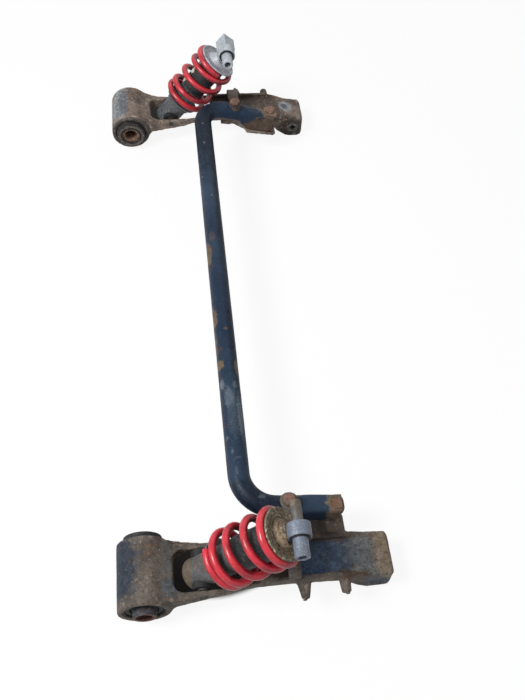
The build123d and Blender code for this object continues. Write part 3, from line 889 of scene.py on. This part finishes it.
@dataclass
class StudioStage:
    """Pale floor with painted shadows under the levers' slots, soft lamps and the camera."""

    floor_size: float = 8.0
    floor_drop: float = 0.0004
    floor_pale: Colour = (0.82, 0.82, 0.82)
    floor_glow: float = 0.9
    # colour of the painted shadows under the slots, and where their soft edges start and end
    painted_shadow: Colour = (0.02, 0.018, 0.016)
    painted_shadow_edge: tuple[float, float] = (0.84, 1.06)
    camera_place: Point = (-0.08496, -0.91382, 1.21030)
    camera_turn: Point = (34.5264, -2.4061, -6.1987)
    lens: float = 42.487
    film: float = 36.0
    world_strength: float = 0.25
    aim: Point = (0.0, 0.0, 0.05)
    lamps: tuple[tuple[str, Point, float, float], ...] = (
        ("key", (-1.5, -0.6, 2.1), 0.8, 76.0),
        ("fill", (1.6, -1.2, 1.7), 1.8, 6.0),
        ("rim", (0.4, 1.9, 1.8), 1.6, 10.0),
    )
    # painted shadows on the floor under each lever's slot: centre and size of each
    painted_shadow_spots: tuple[tuple[Point, Point], ...] = (
        ((-0.060, -0.484, 0.0), (0.092, 0.044, 1.0)),
        ((-0.112, 0.556, 0.0), (0.026, 0.032, 1.0)),
    )

    def build(self) -> None:
        """Makes the floor, the world, the lamps and the camera."""
        made = bmesh.new()
        bmesh.ops.create_grid(made, x_segments=1, y_segments=1, size=self.floor_size)
        floor = Workshop.piece(made, "floor")
        floor.location = (0.0, 0.0, -self.floor_drop)
        Workshop.dress(floor, self.floor_finish())
        self.world()
        for lamp in self.lamps:
            self.lamp(*lamp)
        self.camera()

    def floor_finish(self) -> bpy.types.Material:
        """A pale floor, nearly white to the camera, with a soft painted shadow under each lever's slot."""
        sheet = NodeSheet("floor_finish")
        # painted shadow: inside each spot the floor turns dark and stops glowing to the camera
        near, far = (sheet.between(sheet.reach(*shadow_spot), *self.painted_shadow_edge) for shadow_spot in self.painted_shadow_spots)
        clear = sheet.combined("MULTIPLY", near, far)
        seen = sheet.combined("MULTIPLY", sheet.node("LightPath").outputs["Is Camera Ray"], self.floor_glow)
        glow = sheet.node("Emission", {"Strength": 1.0}).outputs[0]
        share = sheet.combined("MULTIPLY", seen, clear)
        blend = sheet.node("MixShader", {0: share, 1: sheet.shader.outputs[0], 2: glow})
        sheet.feed(sheet.tree.nodes["Material Output"].inputs["Surface"], blend.outputs[0])
        return sheet.finish(sheet.mix(clear, self.painted_shadow, self.floor_pale), 0.9)

    def world(self) -> None:
        """Plain light all round, white to the camera and in reflections."""
        world = bpy.data.worlds.new("studio")
        world.use_nodes = True
        bpy.context.scene.world = world
        nodes, link = world.node_tree.nodes, world.node_tree.links.new
        rays = nodes.new("ShaderNodeLightPath").outputs
        seen = rays["Is Camera Ray"]
        for ray in ("Is Glossy Ray", "Is Transmission Ray"):
            either = nodes.new("ShaderNodeMath")
            either.operation = "MAXIMUM"
            link(seen, either.inputs[0])
            link(rays[ray], either.inputs[1])
            seen = either.outputs[0]
        level = nodes.new("ShaderNodeMapRange")
        level.inputs["To Min"].default_value = self.world_strength
        level.inputs["To Max"].default_value = 1.0
        link(seen, level.inputs["Value"])
        link(level.outputs[0], nodes["Background"].inputs["Strength"])
        nodes["Background"].inputs["Color"].default_value = (1.0, 1.0, 1.0, 1.0)

    def lamp(self, name: str, spot: Point, size: float, power: float) -> None:
        """A soft square lamp that looks at the middle of the part.

        Args:
            name: the lamp's name.
            spot: where it hangs.
            size: edge length in metres.
            power: watts.
        """
        data = bpy.data.lights.new(name, "AREA")
        data.shape = "SQUARE"
        data.size = size
        data.energy = power
        lamp = Workshop.linked(name, data)
        lamp.location = spot
        lamp.rotation_euler = (Vector(self.aim) - Vector(spot)).to_track_quat("-Z", "Y").to_euler()

    def camera(self) -> None:
        """The camera at the photograph's place."""
        data = bpy.data.cameras.new("camera")
        data.sensor_fit = "VERTICAL"
        data.sensor_height = self.film
        data.lens = self.lens
        camera = Workshop.linked("camera", data)
        camera.location = self.camera_place
        camera.rotation_euler = Euler([math.radians(a) for a in self.camera_turn], "XYZ")
        bpy.context.scene.camera = camera


@dataclass
class SolidDress:
    """Finishes for the solids that show as they are, and for those that are shown worn."""

    # heights and sideways offset of the far dust sleeve's pale spots, partly dust and partly painted highlight
    pale_spot_heights: tuple[float, ...] = (0.086, 0.112, 0.136)
    pale_spot_side: float = 0.022

    def dust_and_highlight_spots(self) -> tuple[Patch, ...]:
        """Pale spots up the upper side of the far dust sleeve, partly dust and partly painted highlight, by their
        heights along the damper.
        """
        along = Side.FAR.along
        across = along.cross(Vector((0.0, 1.0, 0.0))) * self.pale_spot_side
        spots = (along * height + across for height in self.pale_spot_heights)
        return tuple(Patch(place(Side.FAR, PIVOT_FROM_EYE + spot.x, 0.008, PIVOT_Z + spot.z), (0.012, 0.012, 0.008),
                           (0.5, 0.45, 0.36), 0.85, 0.7, 120, 0.15) for spot in spots)

    def eye_faces(self) -> dict[str, Finish]:
        """The turned faces in the levers' eyes.

        Returns:
            Solid name to finish.
        """
        eye = ((EYE_X, 0.0, EYE_Z), ACROSS)
        return {
            "far_eye_rubber": TurnedFace(
                "far_rubber_finish", *eye, (0.05, 0.043, 0.038), (0.012, 0.011, 0.011), (0.12, 0.11, 0.1),
                (Ring(0.0195, (0.125, 0.105, 0.09), 0.85), Ring(0.0265, (0.02, 0.019, 0.02), 0.9)), 900.0,
                rim=0.06),
            "near_eye_sleeve": TurnedFace(
                "near_sleeve_finish", *eye, (0.1, 0.042, 0.03), (0.03, 0.014, 0.011), (0.2, 0.1, 0.07),
                (Ring(0.0164, (0.05, 0.058, 0.072), 0.95),), rim=0.06),
            "far_eye_sleeve": TurnedFace(
                "far_sleeve_finish", *eye, (0.75, 0.29, 0.13), (0.26, 0.09, 0.045), (0.45, 0.25, 0.15),
                (Ring(0.0098, (0.05, 0.035, 0.028), 0.8), Ring(0.0122, (0.16, 0.115, 0.085), 0.9),
                 Ring(0.0160, (0.03, 0.026, 0.025), 0.95)), rim=0.06),
        }

    def finishes(self) -> dict[str, Finish]:
        """Each shown solid's finish.

        Returns:
            Solid name to finish.
        """
        stud = RustyCasting("stud_finish", dirt_depth=0.004)
        bush = WornSteel("bush_steel_finish", (0.07, 0.06, 0.052), (0.05, 0.032, 0.022), 0.8, 0.2, frost_share=0.4)
        # painted shade: the pivot pins and sleeves get near-black steel, as they sit in shadow at the damper's foot
        dark_pin = WornSteel("pivot_steel_finish", (0.028, 0.025, 0.023), (0.02, 0.013, 0.01), 0.8, 0.0, 0.6, 0.8)
        rubber = AgedRubber("rubber_finish")
        stain = Patch(place(Side.NEAR, 0.06, 0.0, 0.045), (0.012, 0.03, 0.03), (0.12, 0.085, 0.055), 0.7, 0.35, 80)
        near_tube = WornSteel("near_tube_finish", (0.074, 0.076, 0.078), (0.06, 0.042, 0.03), 0.7, 0.2, 0.4, 0.65,
                              dirt=0.75, frost=(0.25, 0.24, 0.22), frost_share=0.4, patches=(stain,))
        far_tube = WornSteel("far_tube_finish", (0.045, 0.052, 0.064), (0.06, 0.048, 0.038), 0.6, 0.1, 0.4, 0.65,
                             dirt=0.6, frost=(0.32, 0.29, 0.22), frost_share=0.5)
        dust = WornSteel("dust_sleeve_finish", (0.012, 0.014, 0.017), (0.03, 0.028, 0.026), 0.6, 0.0, 0.45, 0.65,
                         frost=(0.2, 0.18, 0.14), frost_share=0.3, specular=0.3)
        chrome = WornSteel("rod_finish", (0.6, 0.6, 0.62), (0.3, 0.3, 0.3), 0.1, 1.0, 0.12, 0.2)
        table = {
            "lug_studs": stud, "eye_shell": rubber, "pivot_pin": dark_pin, "pivot_bush": rubber,
            "pivot_sleeve": dark_pin, "rod_guide": bush, "rod": chrome, "piston": bush, "upper_bush": rubber,
            "dust_sleeve": dust, "bump_stop": rubber,
        }
        both = {f"{side.label}_{name}": finish for side in Side for name, finish in table.items()}
        return both | self.eye_faces() | {
            "near_damper_tube": near_tube, "near_lower_seat": near_tube, "far_damper_tube": far_tube,
            "far_lower_seat": far_tube, "near_eye_rubber": rubber,
            # the far dust sleeve carries pale spots, partly dust and partly painted highlight
            "far_dust_sleeve": replace(dust, name="far_dust_finish", patches=self.dust_and_highlight_spots()),
        }

    def forgings(self) -> tuple[Worn, ...]:
        """The small pieces that are shown with worn edges.

        Returns:
            A row for each piece.
        """
        battened = BattenedPad()
        near_strap = RustyCasting("near_strap_finish", (0.098, 0.086, 0.074), (0.044, 0.037, 0.032),
                                  (0.165, 0.145, 0.122), (0.12, 0.075, 0.055), dirt_depth=0.006)
        far_strap = RustyCasting("far_strap_finish", (0.07, 0.056, 0.05), (0.028, 0.022, 0.02), (0.13, 0.1, 0.085),
                                 dirt_depth=0.006)
        near_pad = RustyCasting(
            "near_pad_finish", (0.11, 0.084, 0.062), (0.05, 0.037, 0.028), (0.18, 0.145, 0.11), dirt_depth=0.004,
            patches=(Patch((0.1249, -0.4365, 0.1), (0.010, 0.009, 0.02), (0.13, 0.06, 0.03), 0.5, 0.9, 140, 0.2),))
        near_bolts = RustyCasting(
            "near_bolts_finish", (0.105, 0.078, 0.058), (0.05, 0.036, 0.028), (0.17, 0.135, 0.105), dirt_depth=0.003,
            patches=(Patch((0.1225, -0.4315, 0.1), (0.01, 0.008, 0.01), (0.14, 0.06, 0.03), 0.5, 0.8, 140, 0.2),
                     Patch((0.0515, -0.43, 0.1258), (0.008, 0.008, 0.008), (0.17, 0.075, 0.06), 0.6, 0.35, 110)))
        far_bolts = RustyCasting("far_bolts_finish", (0.19, 0.11, 0.08), (0.1, 0.055, 0.04), (0.33, 0.2, 0.15),
                                 (0.3, 0.12, 0.06), dirt_depth=0.003)
        far_pad = RustyCasting("far_pad_finish", (0.21, 0.135, 0.1), (0.1, 0.065, 0.05), (0.34, 0.25, 0.19),
                               (0.34, 0.14, 0.08), dirt_depth=0.004)
        near_steel = WornSteel(
            "near_top_finish", (0.12, 0.14, 0.18), (0.07, 0.078, 0.1), 0.8, 0.15, 0.4, 0.65,
            frost=(0.34, 0.38, 0.44), frost_share=0.38, patches=(
                Patch((0.052, -0.455, 0.18), (0.03, 0.037, 0.03), (0.072, 0.066, 0.058), 0.96, 0.12, 90, 0.05),
                Patch((0.052, -0.462, 0.18), (0.03, 0.012, 0.03), (0.08, 0.055, 0.035), 0.5, 0.6, 90)))
        far_steel = WornSteel("far_top_finish", (0.33, 0.365, 0.4), (0.2, 0.21, 0.225), 0.8, 0.1, 0.4, 0.6,
                              dirt=0.8, frost=(0.6, 0.64, 0.68), frost_share=0.6)
        near_plate = TurnedFace(
            "near_plate_finish", place(Side.NEAR, PIVOT_FROM_EYE, 0.0, PIVOT_Z),
            (0.0, Side.NEAR.lean - math.radians(90.0), 0.0), (0.155, 0.112, 0.07), (0.04, 0.03, 0.02),
            (0.4, 0.36, 0.27), (Ring(0.031, (0.2, 0.18, 0.125), 0.55, 0.002),), 430.0, 0.7)
        far_plate = WornSteel("far_plate_finish", (0.3, 0.31, 0.34), (0.17, 0.17, 0.18), 0.8, 0.1, 0.45, 0.65,
                              frost=(0.58, 0.58, 0.6), frost_share=0.6)
        return (
            Worn("near_bar_strap", "stabiliser", near_strap, "clamp_casting"),
            Worn("far_bar_strap", "stabiliser", far_strap, "clamp_casting"),
            Worn("near_clamp_pad", "stabiliser", near_pad, "clamp_casting", 0.0008, 30, shaping=battened.pad),
            Worn("far_clamp_pad", "stabiliser", far_pad, "clamp_casting", 0.0008, 6),
            Worn("near_clamp_bolts", "stabiliser", near_bolts, "fastener_steel", 0.0008, 14,
                 shaping=battened.bolts),
            Worn("far_clamp_bolts", "stabiliser", far_bolts, "fastener_steel", 0.0008, 5),
            Worn("near_upper_eye", "near_rod_top", near_steel, "sleeve_steel", 0.0008, 3, 0.0003),
            Worn("far_upper_eye", "far_rod_top", far_steel, "sleeve_steel", 0.0008, 3, 0.0003),
            Worn("near_upper_sleeve", "near_top_sleeve", near_steel, "sleeve_steel", 0.0007, 3, 0.0003),
            Worn("far_upper_sleeve", "far_top_sleeve", far_steel, "sleeve_steel", 0.0007, 3, 0.0003),
            Worn("near_upper_plate", "near_rod_top", near_plate, "dirty_plate_metal", 0.0009, 2, 0.0011, 0.004),
            Worn("far_upper_plate", "far_rod_top", far_plate, "plate_metal", 0.0009, 2, 0.0005),
        )

    def build(self, nodes: dict[str, bpy.types.Object]) -> None:
        """Puts the finishes on the solids that show.

        Args:
            nodes: the solids by name.
        """
        finishes = self.finishes()
        made = {finish: finish.material() for finish in dict.fromkeys(finishes.values())}
        for name, finish in finishes.items():
            Workshop.dress(nodes[name], made[finish])


# ------------------------------------------------ painted and rusted surfaces
NEAR_PAINT = (0.006, 0.012, 0.022)
WEB_PAINT = (0.018, 0.056, 0.122)
BLUE_GREY = (0.12, 0.128, 0.132)
TAN = (0.125, 0.095, 0.068)
BAR_RUST = (0.095, 0.066, 0.042)
BAR_CHIP = (0.12, 0.145, 0.17)


def near_casting() -> RustyCasting:
    """The near lever's finish, with dark paint left on the eye's outer half and on the web, and a painted shadow
    line along the inner flange.
    """
    return RustyCasting("near_casting_finish", flecks=0.15, patches=(
        Patch((-0.193, -0.49, 0.058), (0.0225, 0.043, 0.034), NEAR_PAINT, 0.97, 0.6, 70),
        Patch((-0.183, -0.492, 0.058), (0.02, 0.052, 0.034), NEAR_PAINT, 0.45, 1.0, 110, 0.2),
        Patch((-0.126, -0.524, 0.055), (0.014, 0.016, 0.022), (0.045, 0.055, 0.066), 0.8, 0.7, 90, 0.25),
        Patch((-0.129, -0.486, 0.055), (0.007, 0.035, 0.02), (0.05, 0.056, 0.058), 0.6, 0.9, 110, 0.25),
        Patch((0.086, -0.4985, 0.057), (0.044, 0.027, 0.014), WEB_PAINT, 0.97, 0.4, 110),
        Patch((0.123, -0.499, 0.055), (0.032, 0.021, 0.02), (0.034, 0.066, 0.12), 0.85, 1.2, 130, 0.15),
        Patch((0.156, -0.499, 0.052), (0.026, 0.03, 0.024), BLUE_GREY, 0.75, 1.1, 110, 0.3),
        Patch((0.105, -0.499, 0.057), (0.04, 0.024, 0.014), BLUE_GREY, 0.22, 1.9, 190, 0.15),
        Patch((0.18, -0.529, 0.02), (0.03, 0.006, 0.026), (0.055, 0.066, 0.078), 0.85, 0.6, 110, 0.2),
        Patch((0.145, -0.531, 0.06), (0.03, 0.006, 0.012), (0.055, 0.028, 0.018), 0.8, 0.8, 120, 0.2),
        Patch((0.188, -0.499, 0.045), (0.015, 0.038, 0.03), (0.17, 0.13, 0.09), 0.7, 1.0, 120, 0.3),
        Patch((0.02, -0.47, 0.06), (0.1, 0.006, 0.02), (0.045, 0.03, 0.02), 0.6, 0.8, 90, 0.2),
        Patch((0.105, -0.466, 0.065), (0.05, 0.012, 0.02), (0.05, 0.034, 0.026), 0.6, 0.6, 110, 0.2),
        Patch((0.095, -0.455, 0.078), (0.055, 0.02, 0.007), (0.095, 0.052, 0.036), 0.7, 0.5, 110, 0.2),
        # painted shadow: a thin near-black line along the inner flange's edge
        Patch((0.095, -0.455, 0.065), (0.055, 0.02, 0.0016), (0.01, 0.008, 0.007), 0.9, 0.25, 90, 0.25),
    ))


def far_casting() -> RustyCasting:
    """The far lever's finish, lighter and browner."""
    return RustyCasting(
        "far_casting_finish", (0.172, 0.135, 0.112), (0.047, 0.035, 0.027), (0.38, 0.31, 0.26), (0.21, 0.127, 0.088),
        flecks=0.55, patches=(
            Patch((-0.183, 0.505, 0.062), (0.017, 0.052, 0.03), (0.17, 0.185, 0.2), 0.85, 0.8, 110, 0.2),
            Patch((-0.176, 0.5, 0.07), (0.012, 0.036, 0.02), (0.05, 0.06, 0.075), 0.75, 1.2, 150, 0.15),
            Patch((EYE_X, 0.4515, EYE_Z), (0.042, 0.005, 0.042), (0.036, 0.032, 0.031), 0.9, 0.15, 80),
            Patch((0.16525, 0.5, 0.05), (0.016, 0.016, 0.012), (0.22, 0.225, 0.235), 0.85, 0.4, 120, 0.15),
            Patch((0.16425, 0.501, 0.051), (0.007, 0.008, 0.012), (0.05, 0.06, 0.085), 0.85, 0.5, 150, 0.2),
            Patch((0.18, 0.468, 0.02), (0.032, 0.007, 0.026), (0.018, 0.014, 0.011), 0.9, 0.4, 90, 0.2),
            Patch((0.13, 0.495, 0.05), (0.02, 0.045, 0.03), (0.04, 0.03, 0.022), 0.75, 0.8, 80, 0.2),
            Patch((0.05, 0.518, 0.056), (0.075, 0.02, 0.02), (0.035, 0.025, 0.018), 0.75, 0.8, 80, 0.2),
        ))


def bar_paint() -> WornPaint:
    """The bar's navy paint, with its rust, scuffs, chips, the bare ends of its blades, and painted shade at its
    bends and down its right side.
    """
    rust = tuple(Patch(spot, size, BAR_RUST, share, 0.7, 150, 0.15) for spot, size, share in (
        ((-0.031, 0.0342, 0.12), (0.0075, 0.024, 0.01), 0.9),
        ((-0.0318, -0.1039, 0.119), (0.0075, 0.02, 0.01), 0.9),
        ((-0.0294, -0.1976, 0.121), (0.009, 0.009, 0.01), 0.95),
        ((-0.0025, -0.2025, 0.122), (0.0045, 0.014, 0.01), 0.85),
        ((-0.0138, -0.1308, 0.128), (0.003, 0.003, 0.004), 0.7),
        ((-0.031, -0.155, 0.113), (0.006, 0.03, 0.01), 0.6),
        ((-0.0217, 0.0709, 0.1276), (0.006, 0.012, 0.006), 0.3),
    ))
    # painted shade: darker patches at both bends and down the bar's right side
    painted_shade = tuple(Patch(spot, size, (0.004, 0.008, 0.016), 0.92, 0.9, 60, 0.4) for spot, size in (
        ((0.008, -0.425, 0.115), (0.04, 0.03, 0.03)),
        ((-0.002, -0.15, 0.112), (0.01, 0.12, 0.02)),
        ((-0.002, 0.15, 0.112), (0.008, 0.2, 0.02)),
        ((-0.017, 0.36, 0.115), (0.03, 0.11, 0.03)),
    ))
    scuffs = tuple(Patch(spot, size, BAR_CHIP, share, 1.2, 330, 0.3) for spot, size, share in (
        ((-0.0283, -0.2344, 0.1232), (0.004, 0.009, 0.006), 0.6),
        ((-0.0203, -0.26, 0.128), (0.008, 0.016, 0.006), 0.4),
        ((-0.015, -0.29, 0.128), (0.01, 0.04, 0.008), 0.2),
        ((-0.0088, -0.2382, 0.1267), (0.0035, 0.006, 0.006), 0.45),
        ((-0.0052, -0.294, 0.124), (0.004, 0.036, 0.006), 0.6),
        ((-0.0176, 0.3658, 0.128), (0.0022, 0.003, 0.004), 0.5),
        ((-0.0188, 0.3109, 0.128), (0.0022, 0.003, 0.004), 0.5),
        ((-0.0283, 0.2226, 0.124), (0.002, 0.002, 0.004), 0.5),
        ((-0.0145, 0.17, 0.128), (0.002, 0.002, 0.004), 0.5),
        ((-0.0283, -0.3291, 0.124), (0.003, 0.003, 0.005), 0.4),
        ((-0.0228, -0.353, 0.127), (0.0018, 0.004, 0.004), 0.4),
        ((-0.015, -0.364, 0.128), (0.004, 0.002, 0.004), 0.22),
        ((-0.019, -0.385, 0.128), (0.002, 0.006, 0.005), 0.25),
        ((0.015, -0.425, 0.125), (0.006, 0.005, 0.006), 0.4),
    ))
    blades = (
        Patch((0.131, -0.438, 0.085), (0.023, 0.045, 0.04), TAN, 0.96, 0.7, 110, 0.15),
        Patch((0.123, -0.434, 0.094), (0.009, 0.01, 0.01), (0.13, 0.065, 0.035), 0.6, 0.8, 140, 0.2),
        Patch((0.095, -0.417, 0.09), (0.05, 0.005, 0.01), (0.075, 0.06, 0.05), 0.8, 0.8, 110, 0.2),
        Patch((0.136, 0.44, 0.085), (0.036, 0.032, 0.04), TAN, 0.96, 0.8, 110),
        Patch((0.105, 0.412, 0.068), (0.045, 0.012, 0.026), (0.066, 0.045, 0.031), 0.96, 0.6, 110),
        Patch((0.09, 0.458, 0.09), (0.04, 0.006, 0.012), (0.15, 0.12, 0.1), 0.7, 0.9, 110, 0.2),
    )
    return WornPaint("bar_paint_finish", patches=painted_shade + rust + scuffs + blades)


def main() -> None:
    """Builds the whole scene and reports each piece."""
    logging.basicConfig(level=logging.INFO, format="%(name)s: %(message)s")
    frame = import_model()
    bpy.context.scene.view_settings.view_transform = "Standard"
    StudioStage().build()
    dress = SolidDress()
    dress.build(frame["nodes"])
    TorsionBar(bar_paint()).build()
    Lever(Side.NEAR, near_casting(), hub_growth=0.14).build()
    Lever(Side.FAR, far_casting()).build()
    SmallForgings(dress.forgings()).build()
    CoilSpring(Side.NEAR, SpringCoat("near_spring_finish"), 170.0).build()
    CoilSpring(Side.FAR, SpringCoat("far_spring_finish"), 49.0, turns=4.62, open_pitch=0.031,
               opening=(0.75, 1.5), settling=(3.85, 4.15)).build()
    near_hub, far_hub = (place(side, HUB_FROM_EYE, 0.0, HUB_Z) for side in Side)
    near_ring = TurnedFace("near_bush_finish", near_hub, ACROSS)
    far_ring = TurnedFace("far_bush_finish", far_hub, ACROSS, (0.15, 0.14, 0.13), (0.05, 0.045, 0.04))
    near_disc = RustyCasting("near_disc_finish", (0.075, 0.085, 0.096), (0.03, 0.035, 0.042), (0.14, 0.15, 0.16))
    far_disc = RustyCasting("far_disc_finish", (0.13, 0.105, 0.088))
    HubFittings(Side.NEAR, near_ring, near_disc).build()
    HubFittings(Side.FAR, far_ring, far_disc).build()


if __name__ == "__main__":
    main()
